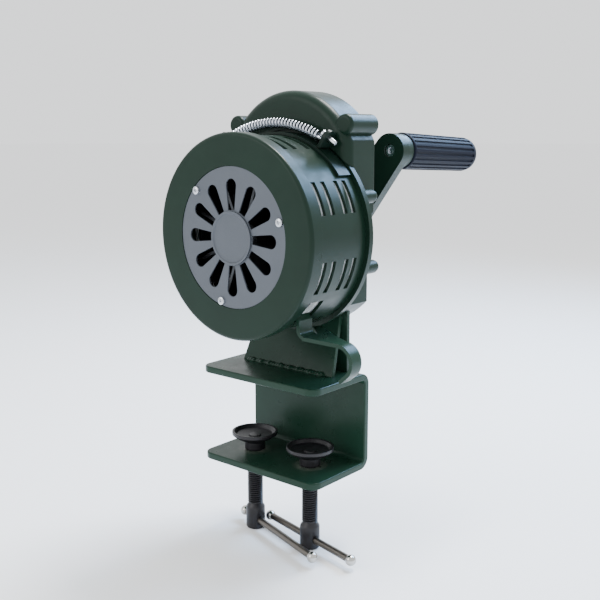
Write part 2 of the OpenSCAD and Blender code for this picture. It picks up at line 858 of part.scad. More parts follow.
module layshaft_bushes() {
    color(bronze) {
        ring_y(lay_r + 1.5, lay_r + run_fit, 13, 18, 0, lay_z);
        ring_y(lay_r + 1.5, lay_r + run_fit, cover_y - 2, cover_y + cover_t, 0, lay_z);
    }
}

module crankshaft() {
    color(bright_steel) {
        rod_y(shaft_r, 27.2, crank_y + crank_t, 0, drum_z);
        rod_y(5, crank_y + crank_t - eps, crank_y + crank_t + 11, 0, drum_z);
    }
}

module crank_bushes() {
    color(bronze) {
        ring_y(shaft_r + bush_wall, shaft_r + run_fit, cover_y, 50, 0, drum_z);
        ring_y(shaft_r + bush_wall, shaft_r + run_fit, 62, crank_hub_end + 1, 0, drum_z);
    }
}

// ---- Crank ----

// Outline of the arm: two rounds joined by straight sides that start a hair inside their tangents
module arm_outline() {
    lean = acos((arm_big - arm_small) / arm_len);
    far = at(arm_len, arm_a);
    big = arm_big - arm_tuck;
    small = arm_small - arm_tuck;
    circle(arm_big);
    translate(far) circle(arm_small);
    polygon([
        at(big, arm_a - lean), far + at(small, arm_a - lean),
        far + at(small, arm_a + lean), at(big, arm_a + lean)
    ]);
}

module crank_arm() {
    color(green) difference() {
        union() {
            along_y(crank_y) translate([0, drum_z, 0]) linear_extrude(crank_t) arm_outline();
            spindle_frame() translate([0, 0, -1.5]) cylinder(r = arm_small - 0.3, h = collar_len + 1.5);
        }
        rod_y(shaft_r, crank_y - 1, crank_y + crank_t + 1, 0, drum_z);
        spindle_frame() translate([0, 0, -20]) cylinder(r = spindle_r, h = 30);
        spindle_frame() translate([0, 0, -crank_t - 5]) cylinder(r = 5.4, h = 10);
    }
}

// Frame of the grip's spindle: origin on the arm's back face, +Z along the grip
module spindle_frame() {
    translate([crank_x, crank_y + crank_t, drum_z + crank_up]) rotate([0, -arm_a, 0])
        rotate([0, 0, grip_lean]) rotate([-90, 0, 0]) children();
}

module crank_nut() {
    color(bright_steel) along_y(crank_y + crank_t) translate([0, drum_z, 0]) difference() {
        union() {
            cylinder(r = 11, h = 1.6);
            translate([0, 0, 1.6]) cylinder(r = 9.8, h = 7, $fn = 6);
        }
        translate([0, 0, -eps]) cylinder(r = 5, h = 10);
    }
}

module grip_spindle() {
    color(bright_steel) spindle_frame() {
        difference() {
            translate([0, 0, -8]) cylinder(r = 5.3, h = 3);
            translate([0, 0, -9]) cylinder(r = 2.9, h = 2.8, $fn = 6);
        }
        translate([0, 0, -5 - eps]) cylinder(r = spindle_r, h = grip_len + 5);
    }
}

// Ribbed grip with a domed end, free to turn on its spindle
module grip() {
    ribs = 20;
    start = collar_len + 0.4;
    dome = 8;
    body_r = grip_r - 0.8;
    color(navy_rubber) spindle_frame() difference() {
        union() {
            rotate_extrude() polygon(concat(
                [[0, start], [body_r, start]],
                arc([body_r - dome, start + grip_len - dome], dome, 0, 90, 8),
                [[0, start + grip_len]]
            ));
            for (k = [0:ribs - 1]) rotate([0, 0, 360 / ribs * k]) translate([body_r - 1, -1, start + 5])
                cube([1.8, 2, grip_len - dome - 7]);
        }
        translate([0, 0, start - 1]) cylinder(r = spindle_r + run_fit, h = grip_len - 4);
    }
}

left_x = -screw_pitch / 2;
right_x = screw_pitch / 2;

clamp_frame();
pedestal();
pedestal_bolts();
gear_housing();
rear_cover();
cover_screws();
drum_body();
flange_screws();
front_ring();
ring_screws();
grille();
grille_screws();
centre_disc();
spring_bracket();
spring_screw();
return_spring();
rotor_bearings();
layshaft_bushes();
crank_bushes();
shutter_sleeve();
shutter_strap();
shutter_lever();
shutter_rivets();
rotor();
rotor_shaft();
rotor_pinion();
rotor_nut();
layshaft();
layshaft_wheel();
layshaft_pinion();
crankshaft();
crank_wheel();
crank_arm();
crank_nut();
grip_spindle();
grip();
pressure_pad(left_x);  // pad_left
clamp_screw(left_x);  // clamp_screw_left
cross_bar(left_x);  // cross_bar_left
bar_balls(left_x);  // bar_balls_left
pressure_pad(right_x);  // pad_right
clamp_screw(right_x);  // clamp_screw_right
cross_bar(right_x);  // cross_bar_right
bar_balls(right_x);  // bar_balls_right
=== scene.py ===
"""Looks of a hand-cranked siren with a table clamp, set on its fixed engineering model."""

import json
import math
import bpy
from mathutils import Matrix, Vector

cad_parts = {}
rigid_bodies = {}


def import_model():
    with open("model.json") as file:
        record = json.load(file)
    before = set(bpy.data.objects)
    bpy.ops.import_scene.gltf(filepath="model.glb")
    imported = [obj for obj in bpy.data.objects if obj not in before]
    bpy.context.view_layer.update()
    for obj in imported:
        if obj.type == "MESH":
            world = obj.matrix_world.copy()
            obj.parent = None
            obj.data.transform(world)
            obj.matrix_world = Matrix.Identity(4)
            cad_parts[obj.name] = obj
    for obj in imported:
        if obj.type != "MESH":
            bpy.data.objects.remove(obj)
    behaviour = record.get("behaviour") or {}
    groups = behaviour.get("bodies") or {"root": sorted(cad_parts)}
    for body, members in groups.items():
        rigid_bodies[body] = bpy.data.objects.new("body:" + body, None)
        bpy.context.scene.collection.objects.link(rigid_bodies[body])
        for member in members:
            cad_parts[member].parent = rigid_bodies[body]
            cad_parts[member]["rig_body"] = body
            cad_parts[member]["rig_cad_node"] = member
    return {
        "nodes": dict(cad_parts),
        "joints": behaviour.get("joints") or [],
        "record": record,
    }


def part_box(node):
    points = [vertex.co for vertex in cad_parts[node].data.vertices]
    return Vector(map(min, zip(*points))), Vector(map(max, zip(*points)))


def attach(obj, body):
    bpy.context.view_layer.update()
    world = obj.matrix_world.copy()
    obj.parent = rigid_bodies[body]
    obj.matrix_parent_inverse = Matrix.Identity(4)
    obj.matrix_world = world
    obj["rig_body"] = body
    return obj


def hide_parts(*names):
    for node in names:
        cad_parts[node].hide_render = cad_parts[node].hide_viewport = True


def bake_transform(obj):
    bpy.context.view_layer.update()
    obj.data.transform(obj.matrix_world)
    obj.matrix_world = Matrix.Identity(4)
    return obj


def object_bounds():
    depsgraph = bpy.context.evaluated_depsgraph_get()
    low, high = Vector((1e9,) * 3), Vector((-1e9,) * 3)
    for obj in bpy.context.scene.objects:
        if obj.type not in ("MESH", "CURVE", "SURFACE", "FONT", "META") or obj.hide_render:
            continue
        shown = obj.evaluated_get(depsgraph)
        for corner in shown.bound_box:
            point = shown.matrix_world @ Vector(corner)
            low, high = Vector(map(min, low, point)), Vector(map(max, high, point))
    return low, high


bl_info = {
    "name": "Hand siren",
    "version": (1, 0, 0),
    "blender": (4, 5, 0),
    "location": "View3D > Sidebar > Siren",
    "description": "Finished surfaces and small parts of a hand-cranked siren",
    "category": "Object",
}

import bpy
from bpy.props import FloatProperty, FloatVectorProperty, IntProperty, PointerProperty
from mathutils import Matrix, Vector

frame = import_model()
CAD_BOX = [list(corner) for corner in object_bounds()]

MM = 0.001
FULL_TURN = 2 * math.pi


def mm(*values):
    """Millimetres as a vector in metres."""
    return Vector(values) * MM


def linear(code):
    """An sRGB hex colour as linear red, green and blue."""
    parts = [int(code[i : i + 2], 16) / 255 for i in (1, 3, 5)]
    return [c / 12.92 if c <= 0.04045 else ((c + 0.055) / 1.055) ** 2.4 for c in parts]


# The grip's axis, read from its own joint
JOINTS = {joint["name"]: joint for joint in frame["joints"]}
GRIP_FOOT = Vector(JOINTS["grip_spin"]["pos_m"])
GRIP_AXIS = Vector(JOINTS["grip_spin"]["axis"])


# ---------------------------------------------------------------- settings


class SirenColours(bpy.types.PropertyGroup):
    """Colours of the paint and of the grip"""

    # The casting enamel and the plate enamel are one green paint in two tones, set apart as painted light:
    # the plate's copy is painted lighter to make up for the shade that falls on the plate under the drum, and
    # the castings' copy is the darker one.
    enamel: FloatVectorProperty(
        name="Casting enamel",
        description="Green stoving enamel on the castings",
        subtype="COLOR",
        default=linear("#11241b"),
    )
    plate: FloatVectorProperty(
        name="Plate enamel",
        description="Green stoving enamel on the bent plate",
        subtype="COLOR",
        default=linear("#172f24"),
    )
    strap: FloatVectorProperty(
        name="Strap enamel",
        description="Darker enamel on the shutter strap and the lug",
        subtype="COLOR",
        default=linear("#101f19"),
    )
    grille: FloatVectorProperty(
        name="Grille grey",
        description="Satin grey paint on the grille",
        subtype="COLOR",
        default=linear("#4b5057"),
    )
    grip: FloatVectorProperty(
        name="Grip navy",
        description="Navy blue of the moulded grip",
        subtype="COLOR",
        default=linear("#0b101d"),
    )


class SirenDetails(bpy.types.PropertyGroup):
    """Sizes of the small details"""

    cast_edge: FloatProperty(
        name="Cast edge",
        description="Rounding of the castings' edges",
        unit="LENGTH",
        default=0.9 * MM,
        min=0.1 * MM,
        max=2 * MM,
    )
    plate_edge: FloatProperty(
        name="Plate edge",
        description="Rounding of the clamp plate's edges",
        unit="LENGTH",
        default=1.4 * MM,
        min=0.1 * MM,
        max=2.5 * MM,
    )
    coil_turns: IntProperty(
        name="Coil turns",
        description="Turns of the return spring",
        default=31,
        min=20,
        max=60,
    )
    wire: FloatProperty(
        name="Spring wire",
        description="Radius of the spring's wire",
        unit="LENGTH",
        default=0.95 * MM,
        min=0.4 * MM,
        max=1.2 * MM,
    )
    thread: FloatProperty(
        name="Thread pitch",
        description="Pitch of the clamp screws' thread",
        unit="LENGTH",
        default=2 * MM,
        min=1 * MM,
        max=3 * MM,
    )
    ribs: IntProperty(
        name="Grip ribs",
        description="Lengthwise ribs of the grip",
        default=20,
        min=12,
        max=32,
    )
    ripple: FloatProperty(
        name="Weld ripple",
        description="Distance between the weld's ripples",
        unit="LENGTH",
        default=3 * MM,
        min=1 * MM,
        max=6 * MM,
    )


# ---------------------------------------------------------------- hand work


def only(obj):
    """Select one object alone and make it active."""
    bpy.ops.object.select_all(action="DESELECT")
    obj.select_set(True)
    bpy.context.view_layer.objects.active = obj


def settle(obj, matrix=None):
    """Place the object, then move its place into its mesh."""
    if matrix is not None:
        obj.matrix_world = matrix
    only(obj)
    bpy.ops.object.transform_apply(location=True, rotation=True, scale=True)
    return obj


def modify(obj, kind, **settings):
    """Add a modifier with its settings and apply it."""
    only(obj)
    modifier = obj.modifiers.new(kind.title(), kind)
    for name, value in settings.items():
        setattr(modifier, name, value)
    bpy.ops.object.modifier_apply(modifier=modifier.name)
    return obj


def edit(obj, mode="FACE"):
    """Enter edit mode with nothing selected."""
    only(obj)
    bpy.ops.object.mode_set(mode="EDIT")
    bpy.ops.mesh.select_mode(type=mode)
    bpy.ops.mesh.select_all(action="DESELECT")


def leave():
    """Leave edit mode."""
    bpy.ops.object.mode_set(mode="OBJECT")


def pick_faces(obj, test):
    """Enter edit mode with the faces that pass the test selected."""
    edit(obj)
    leave()
    for face in obj.data.polygons:
        face.select = test(face)
    bpy.ops.object.mode_set(mode="EDIT")


def clean(obj):
    """Merge doubled points and point all faces outwards."""
    edit(obj, "VERT")
    bpy.ops.mesh.select_all(action="SELECT")
    bpy.ops.mesh.remove_doubles(threshold=0.001 * MM)
    bpy.ops.mesh.normals_make_consistent(inside=False)
    leave()
    return obj


def close_ends(obj):
    """Fill every open end of a mesh."""
    edit(obj, "EDGE")
    bpy.ops.mesh.select_non_manifold(
        extend=False, use_wire=False, use_multi_face=False, use_non_contiguous=False, use_verts=False
    )
    bpy.ops.mesh.edge_face_add()
    leave()
    return obj


def smooth(obj, degrees):
    """Smooth shading that keeps the sharp edges."""
    only(obj)
    bpy.ops.object.shade_smooth_by_angle(angle=math.radians(degrees))
    return obj


def twin(obj):
    """A copy with its own mesh."""
    copy = obj.copy()
    copy.data = obj.data.copy()
    bpy.context.scene.collection.objects.link(copy)
    return copy


def join(objs):
    """Join objects into the first one."""
    bpy.ops.object.select_all(action="DESELECT")
    for obj in objs:
        obj.select_set(True)
    bpy.context.view_layer.objects.active = objs[0]
    bpy.ops.object.join()
    return objs[0]


def drop(obj):
    """Remove a helper object."""
    bpy.data.objects.remove(obj)


def carve(obj, cutter):
    """Cut one shape out of another."""
    modify(obj, "BOOLEAN", operation="DIFFERENCE", object=cutter, solver="EXACT")
    drop(cutter)
    return obj


def trace(points):
    """A line of points in the X-Z plane, drawn by pulling a point along.

    Points are [x, z] in millimetres.
    """
    bpy.ops.object.select_all(action="DESELECT")
    bpy.ops.mesh.primitive_plane_add(size=MM)
    obj = bpy.context.object
    bpy.ops.object.mode_set(mode="EDIT")
    bpy.ops.mesh.select_mode(type="VERT")
    bpy.ops.mesh.select_all(action="SELECT")
    bpy.ops.mesh.merge(type="CENTER")
    bpy.ops.transform.translate(value=mm(points[0][0], 0, points[0][1]))
    for start, stop in zip(points, points[1:]):
        step = mm(stop[0] - start[0], 0, stop[1] - start[1])
        bpy.ops.mesh.extrude_vertices_move(TRANSFORM_OT_translate={"value": step})
    leave()
    return obj


def turned(points, steps=48):
    """A solid turned about Z from its outline."""
    obj = trace(points)
    modify(obj, "SCREW", axis="Z", angle=FULL_TURN, screw_offset=0, steps=steps, render_steps=steps)
    return clean(obj)


def frame_of(place, z_axis):
    """A matrix at a place whose Z runs along z_axis, and whose X is level."""
    z_axis = z_axis.normalized()
    up = Vector((0, 0, 1))
    x_axis = up.cross(z_axis) if abs(up.dot(z_axis)) < 0.99 else Vector((1, 0, 0)).cross(z_axis)
    x_axis.normalize()
    y_axis = z_axis.cross(x_axis)
    matrix = Matrix((x_axis, y_axis, z_axis)).transposed().to_4x4()
    matrix.translation = place
    return matrix


def piece(obj, name, material, body, slot, *nodes):
    """Finish a piece: its name and its material; its slot is not used.

    A piece that bends between two bodies is given no body here. The nodes are
    the engineering nodes that the piece stands for.
    """
    obj.name = name
    obj.data.name = name
    obj.data.materials.clear()
    obj.data.materials.append(material)
    if body:
        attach(obj, body)
    if nodes:
        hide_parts(*nodes)
    return obj


def dress(material, *nodes):
    """Give engineering nodes that keep their shape a better finish."""
    for name in nodes:
        mesh = frame["nodes"][name].data
        mesh.materials.clear()
        mesh.materials.append(material)


def body_of(node):
    """The body an engineering node rides on."""
    return frame["nodes"][node]["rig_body"]


def slot_of(node):
    """The record's material slot of a node."""
    return next(part["material_slot"] for part in frame["record"]["subparts"] if part["node"] == node)


# Corners of an engineering mesh closer than this are one corner
MERGE_REACH = 0.002 * MM

# Triangles that meet at less than this are one flat face
FLAT_ANGLE = math.radians(0.6)


def eased(node, width, material, segments=3, angle=38):
    """A copy of a node with its sharp edges rounded."""
    obj = twin(frame["nodes"][node])
    obj.parent = None
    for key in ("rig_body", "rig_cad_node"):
        if key in obj:
            del obj[key]
    edit(obj, "VERT")
    bpy.ops.mesh.select_all(action="SELECT")
    bpy.ops.mesh.remove_doubles(threshold=MERGE_REACH)
    bpy.ops.mesh.dissolve_limited(angle_limit=FLAT_ANGLE)
    leave()
    modify(
        obj,
        "BEVEL",
        width=width,
        segments=segments,
        limit_method="ANGLE",
        angle_limit=math.radians(angle),
        use_clamp_overlap=True,
        miter_outer="MITER_ARC",
    )
    smooth(obj, angle)
    modify(obj, "WEIGHTED_NORMAL", keep_sharp=True)
    return piece(obj, node + "_eased", material, body_of(node), slot_of(node), node)


# ---------------------------------------------------------------- finishes


def add(tree, kind, sockets=None, **settings):
    """Add a shader node. Each socket takes a value, or a (node, output) pair to link from."""
    node = tree.nodes.new(kind)
    for name, value in settings.items():
        setattr(node, name, value)
    for socket, value in (sockets or {}).items():
        if isinstance(value, tuple):
            tree.links.new(value[0].outputs[value[1]], node.inputs[socket])
        else:
            node.inputs[socket].default_value = value
    return node


def tint(colour, factor):
    """A linear colour made lighter or darker, with full alpha."""
    return [min(1, c * factor) for c in colour] + [1]


def finish(name):
    """A new material with its shader and its place on the piece."""
    material = bpy.data.materials.new(name)
    material.use_nodes = True
    tree = material.node_tree
    shader = next(n for n in tree.nodes if n.type == "BSDF_PRINCIPLED")
    place = add(tree, "ShaderNodeTexCoord")
    return material, tree, shader, (place, "Object")


def grain(tree, place, size_mm, detail=2.0, stretch=(1, 1, 1)):
    """Noise whose patches are about size_mm across, drawn out by stretch."""
    mapping = add(tree, "ShaderNodeMapping", {"Vector": place, "Scale": [1 / s for s in stretch]})
    sockets = {"Vector": (mapping, "Vector"), "Scale": 1 / (size_mm * MM), "Detail": detail}
    return add(tree, "ShaderNodeTexNoise", sockets)


def spread(tree, source, low, high, start=0.3, stop=0.7):
    """A number that goes from low to high with the noise."""
    sockets = {"Value": source, "From Min": start, "From Max": stop, "To Min": low, "To Max": high}
    return add(tree, "ShaderNodeMapRange", sockets)


def blend_colours(tree, factor, first, second):
    """One colour that runs into another with the factor."""
    return add(tree, "ShaderNodeMix", {0: factor, 6: first, 7: second}, data_type="RGBA")


def wire_up(tree, shader, colour, rough, bump, depth_mm):
    """Link the colour, the roughness and the relief to the shader."""
    tree.links.new(colour.outputs[2], shader.inputs["Base Color"])
    tree.links.new(rough.outputs[0], shader.inputs["Roughness"])
    relief = add(tree, "ShaderNodeBump", {"Height": bump, "Strength": 1.0, "Distance": depth_mm * MM})
    tree.links.new(relief.outputs[0], shader.inputs["Normal"])


ENAMEL_IOR = 1.52
PVC_IOR = 1.53


# Stoving enamel, sprayed on a casting or plate and baked: a satin skin with a fine orange peel.
# The peel's cells are 2 to 3 mm across and 4 micrometres deep. Patches about 28 mm across vary
# the tone a little, and patches of 9 mm vary the gloss. Round each place in worn_at a pad has
# rubbed the skin down to a grey primer, out to 10 mm all over and fading away at 16 mm.
def enamel(name, colour, peel_mm=2.4, shine=0.32, worn_at=()):
    material, tree, shader, place = finish(name)
    patches = grain(tree, place, 28, 3)
    tone = blend_colours(tree, (patches, 0), tint(colour, 0.82), tint(colour, 1.18))
    for spot in worn_at:
        away = add(tree, "ShaderNodeVectorMath", {0: place, 1: spot}, operation="DISTANCE")
        ring = spread(tree, (away, "Value"), 0.55, 0, 10 * MM, 16 * MM)
        scuffs = spread(tree, (grain(tree, place, 4, 4), 0), 0.2, 1)
        wear = add(tree, "ShaderNodeMath", {0: (ring, 0), 1: (scuffs, 0)}, operation="MULTIPLY")
        tone = blend_colours(tree, (wear, 0), (tone, 2), linear("#6d6e66") + [1])
    peel = grain(tree, place, peel_mm, 1.5)
    film = grain(tree, place, 9, 4)
    rough = spread(tree, (film, 0), shine - 0.04, shine + 0.06)
    wire_up(tree, shader, tone, rough, (peel, 0), 0.004)
    shader.inputs["IOR"].default_value = ENAMEL_IOR
    shader.inputs["Specular IOR Level"].default_value = 0.14
    return material


# Satin grey paint on pressed sheet: an even, slightly blue grey with a soft metallic sheen,
# and grit 0.9 mm across, which is drawn coarser than the real one so that it shows.
def satin_paint(name, colour):
    material, tree, shader, place = finish(name)
    patches = grain(tree, place, 14, 3)
    tone = blend_colours(tree, (patches, 0), tint(colour, 0.9), tint(colour, 1.1))
    grit = grain(tree, place, 0.9, 2)
    rough = spread(tree, (grit, 0), 0.42, 0.55)
    wire_up(tree, shader, tone, rough, (grit, 0), 0.01)
    shader.inputs["Metallic"].default_value = 0.35
    return material


# Bright metal, bare or plated. Its marks are size_mm across and drawn out by stretch, the way the
# tool ran: along a ground shaft, or along a rolled bar. Real marks are finer, and are drawn coarse
# enough to show. Stains about 6 mm across vary the tone. Zinc plate is bluish, drawn wire is
# nearly white, and bar and bronze are dull. The aluminium sheet is near white and has a low
# metallic value, which is painted light: it stands in for the bright reflection of the sleeve
# in the shade behind the ports.
def bright_metal(name, code, rough_low, rough_high, stretch, size_mm=0.8, metallic=1.0):
    material, tree, shader, place = finish(name)
    colour = linear(code)
    marks = grain(tree, place, size_mm, 3, stretch)
    stains = grain(tree, place, 6, 3)
    tone = blend_colours(tree, (stains, 0), tint(colour, 0.82), tint(colour, 1.08))
    rough = spread(tree, (marks, 0), rough_low, rough_high)
    wire_up(tree, shader, tone, rough, (marks, 0), 0.004)
    shader.inputs["Metallic"].default_value = metallic
    return material


# Black oxide on turned steel, oiled: nearly black, with browner worn patches about 5 mm across
# and a dull gloss. The turning marks are drawn 0.7 mm apart so that they show.
def black_oxide(name):
    material, tree, shader, place = finish(name)
    wear = grain(tree, place, 5, 5)
    tone = blend_colours(tree, (wear, 0), linear("#0c0c0f") + [1], linear("#1d1b20") + [1])
    fine = grain(tree, place, 0.7, 2)
    rough = spread(tree, (fine, 0), 0.34, 0.5)
    wire_up(tree, shader, tone, rough, (fine, 0), 0.01)
    shader.inputs["Metallic"].default_value = 0.25
    return material


# Soft PVC, injection moulded: navy, with a fine matt grain of 0.6 mm from the spark-eroded mould.
def moulded_pvc(name, colour):
    material, tree, shader, place = finish(name)
    patches = grain(tree, place, 11, 2)
    tone = blend_colours(tree, (patches, 0), tint(colour, 0.85), tint(colour, 1.15))
    pores = grain(tree, place, 0.6, 2)
    rough = spread(tree, (pores, 0), 0.46, 0.6)
    wire_up(tree, shader, tone, rough, (pores, 0), 0.012)
    shader.inputs["IOR"].default_value = PVC_IOR
    shader.inputs["Specular IOR Level"].default_value = 0.08
    return material


# Sand-cast aluminium: a grey darkened far below bare aluminium as painted shade for the rotor deep
# inside the horn, with a coarse pebbled skin of 1.2 mm grains, 0.06 mm deep.
def cast_alloy(name):
    material, tree, shader, place = finish(name)
    colour = linear("#5d6064")
    pebble = grain(tree, place, 1.2, 4)
    tone = blend_colours(tree, (pebble, 0), tint(colour, 0.75), tint(colour, 1.05))
    rough = spread(tree, (pebble, 0), 0.38, 0.6)
    wire_up(tree, shader, tone, rough, (pebble, 0), 0.06)
    shader.inputs["Metallic"].default_value = 1.0
    return material


FINISHES = {}

# Where the clamp screws come out of the lower jaw, in millimetres from the middle and the front
SCREW_OFFSET, SCREW_Y = 32, -3
PAD_FEET = [list(mm(side * SCREW_OFFSET, SCREW_Y, -73)) for side in (-1, 1)]


def finishes():
    """Make every finish once."""
    if FINISHES:
        return FINISHES
    colours = bpy.context.scene.siren_colours
    FINISHES.update(
        enamel=enamel("stoved_enamel_on_casting", list(colours.enamel)),
        # The plate and the clamp take the lighter copy of the same green, which is painted light.
        plate=enamel("stoved_enamel_on_plate_painted_lighter", list(colours.plate), peel_mm=3, shine=0.3),
        clamp=enamel(
            "worn_enamel_on_clamp_plate_painted_lighter", list(colours.plate), peel_mm=3, shine=0.3, worn_at=PAD_FEET
        ),
        strap=enamel("stoved_enamel_on_strap", list(colours.strap), peel_mm=2, shine=0.3),
        grille=satin_paint("satin_paint_on_pressed_steel", list(colours.grille)),
        zinc=bright_metal("bright_zinc_plate", "#c7cbd1", 0.18, 0.34, (1, 1, 1)),
        wire=bright_metal("drawn_spring_wire", "#ccd2da", 0.16, 0.28, (1, 1, 1), size_mm=1.0),
        bar=bright_metal("rolled_bar_steel", "#6a655f", 0.3, 0.46, (6, 1, 1)),
        ball=bright_metal("polished_steel_ball", "#b9b8b4", 0.1, 0.2, (1, 1, 1), size_mm=2.0),
        ground=bright_metal("ground_steel", "#a9aaac", 0.22, 0.38, (1, 8, 1)),
        # The sleeve's near-white, mostly diffuse sheet is painted light, standing in for its reflection in
        # the shaded ports.
        sheet=bright_metal("aluminium_sheet_painted_bright", "#f2f7fb", 0.4, 0.55, (1, 10, 1), metallic=0.25),
        bronze=bright_metal("sintered_bronze", "#a9824a", 0.35, 0.5, (1, 1, 1)),
        oxide=black_oxide("black_oxide_on_turned_steel"),
        grip=moulded_pvc("moulded_soft_pvc", list(colours.grip)),
        cast=cast_alloy("sand_cast_aluminium_painted_shade"),
    )
    return FINISHES


# ---------------------------------------------------------------- pieces


# Where the camera stands and what it aims at, in millimetres, and its focal length
CAMERA_PLACE = (488.7, -560.5, 203.9)
CAMERA_AIM = (55.6, -44.4, 79.0)
CAMERA_LENS = 53.25

# The floor's radius and how far it lies below the part, in metres
FLOOR_RADIUS = 40
FLOOR_GAP = 0.2 * MM

ROOM_STRENGTH = 1.6

# Each lamp's name, its place, what it aims at and its size in millimetres, its watts and its colour
LAMPS = (
    ("top_light", (60, 420, 1150), (0, 0, 120), (420, 320), 24, "#ffffff"),
    ("back_light", (180, 1050, 880), (0, 0, 130), (1000, 450), 30, "#a9d0ff"),
    ("front_light", (-500, -1200, 700), (0, 0, 60), (900, 900), 7, "#ffffff"),
)


class SirenStage(bpy.types.Operator):
    """Camera, floor, light and surroundings"""

    bl_idname = "siren.stage"
    bl_label = "Stage"

    def execute(self, context):
        scene = context.scene
        self.camera(scene)
        self.floor()
        self.lights(scene)
        return {"FINISHED"}

    def camera(self, scene):
        place, aim = mm(*CAMERA_PLACE), mm(*CAMERA_AIM)
        data = bpy.data.cameras.new("camera")
        data.lens = CAMERA_LENS
        data.sensor_width = 36
        data.clip_end = 200
        camera = bpy.data.objects.new("camera", data)
        camera.location = place
        camera.rotation_euler = (aim - place).to_track_quat("-Z", "Y").to_euler()
        scene.collection.objects.link(camera)
        scene.camera = camera

    def floor(self):
        bpy.ops.object.select_all(action="DESELECT")
        height = CAD_BOX[0][2] - FLOOR_GAP
        bpy.ops.mesh.primitive_circle_add(
            vertices=96, radius=FLOOR_RADIUS, fill_type="NGON", location=(0, 0, height)
        )
        floor = settle(bpy.context.object)
        floor.name = "floor"
        material, _, shader, _ = finish("matt_white_floor")
        shader.inputs["Base Color"].default_value = linear("#fafafa") + [1]
        shader.inputs["Roughness"].default_value = 0.9
        floor.data.materials.append(material)

    def lights(self, scene):
        for name, place, aim, size, power, code in LAMPS:
            data = bpy.data.lights.new(name, "AREA")
            data.shape = "RECTANGLE"
            data.size, data.size_y = size[0] * MM, size[1] * MM
            data.energy = power
            data.color = linear(code)
            lamp = bpy.data.objects.new(name, data)
            lamp.location = mm(*place)
            lamp.rotation_euler = (mm(*aim) - mm(*place)).to_track_quat("-Z", "Y").to_euler()
            scene.collection.objects.link(lamp)
        world = bpy.data.worlds.new("pale_room")
        world.use_nodes = True
        background = world.node_tree.nodes["Background"]
        background.inputs["Color"].default_value = linear("#f7f9fb") + [1]
        background.inputs["Strength"].default_value = ROOM_STRENGTH
        scene.world = world


class SirenShells(bpy.types.Operator):
    """Painted castings: housing, cover, drum, horn ring and crank arm"""

    bl_idname = "siren.shells"
    bl_label = "Painted castings"

    def execute(self, context):
        edge = context.scene.siren_details.cast_edge
        paint = finishes()["enamel"]
        eased("gear_housing", edge, paint)
        eased("rear_cover", edge, paint)
        eased("drum_body", edge * 0.5, paint, 2)
        eased("front_ring", edge * 0.6, paint)
        eased("crank_arm", edge * 1.3, paint)
        return {"FINISHED"}


class SirenPlate(bpy.types.Operator):
    """Painted plate: clamp, pedestal, lever, strap and lug"""

    bl_idname = "siren.plate"
    bl_label = "Painted plate"

    def execute(self, context):
        edge = context.scene.siren_details.plate_edge
        made = finishes()
        eased("clamp_frame", edge, made["clamp"], 4)
        eased("pedestal", edge * 0.4, made["plate"])
        eased("shutter_lever", edge * 0.6, made["plate"])
        eased("shutter_strap", edge * 0.3, made["strap"], 2)
        eased("spring_bracket", edge * 0.6, made["strap"])
        return {"FINISHED"}


# Half the width, depth and height of one ripple, in millimetres
RIPPLE_HALF_SIZE = (2.6, 3.4, 2.5)

# Where the beads start and end along X, in millimetres, and how far they stand out from the
# pedestal's foot and above it
WELD_FRONT_ENDS = (-42, 40)
WELD_BACK_ENDS = (-42, 42)
WELD_OUT, WELD_UP = 0.3, 0.6

# The grid on which the ripples are melted into one bead
MELT_GRID = 0.45 * MM


class SirenWelds(bpy.types.Operator):
    """Weld beads along the pedestal's feet"""

    bl_idname = "siren.welds"
    bl_label = "Weld beads"

    def execute(self, context):
        pitch = context.scene.siren_details.ripple / MM
        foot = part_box("pedestal")[0] / MM
        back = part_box("pedestal")[1].y / MM
        self.bead("weld_front", WELD_FRONT_ENDS, foot.y - WELD_OUT, foot.z + WELD_UP, pitch)
        self.bead("weld_back", WELD_BACK_ENDS, back + WELD_OUT, foot.z + WELD_UP, pitch)
        return {"FINISHED"}

    def bead(self, name, ends, y, z, pitch):
        """Overlapping ripples, melted into one bead."""
        bpy.ops.object.select_all(action="DESELECT")
        bpy.ops.mesh.primitive_uv_sphere_add(segments=20, ring_count=12, radius=MM)
        seed = bpy.context.object
        seed.scale = RIPPLE_HALF_SIZE
        settle(seed)
        ripples = []
        left, right = ends
        count = int((right - left) / pitch)
        for i in range(count + 1):
            ripple = twin(seed)
            # A bead laid by hand wavers in its line and its width
            sway = 0.5 * math.sin(i * 2.3)
            size = 1 + 0.16 * math.sin(i * 1.7)
            place = Matrix.Translation(mm(left + i * pitch, y + sway, z))
            ripples.append(settle(ripple, place @ Matrix.Scale(size, 4)))
        drop(seed)
        bead = join(ripples)
        modify(bead, "REMESH", mode="VOXEL", voxel_size=MELT_GRID)
        modify(bead, "SMOOTH", iterations=2, factor=0.5)
        smooth(bead, 60)
        piece(bead, name, finishes()["plate"], "body", "green_paint")


class SirenGrille(bpy.types.Operator):
    """Grille plate with its blank centre disc"""

    bl_idname = "siren.grille"
    bl_label = "Grille"

    def execute(self, context):
        eased("grille", 0.3 * MM, finishes()["grille"], 2)
        eased("centre_disc", 0.3 * MM, finishes()["grille"], 2)
        return {"FINISHED"}


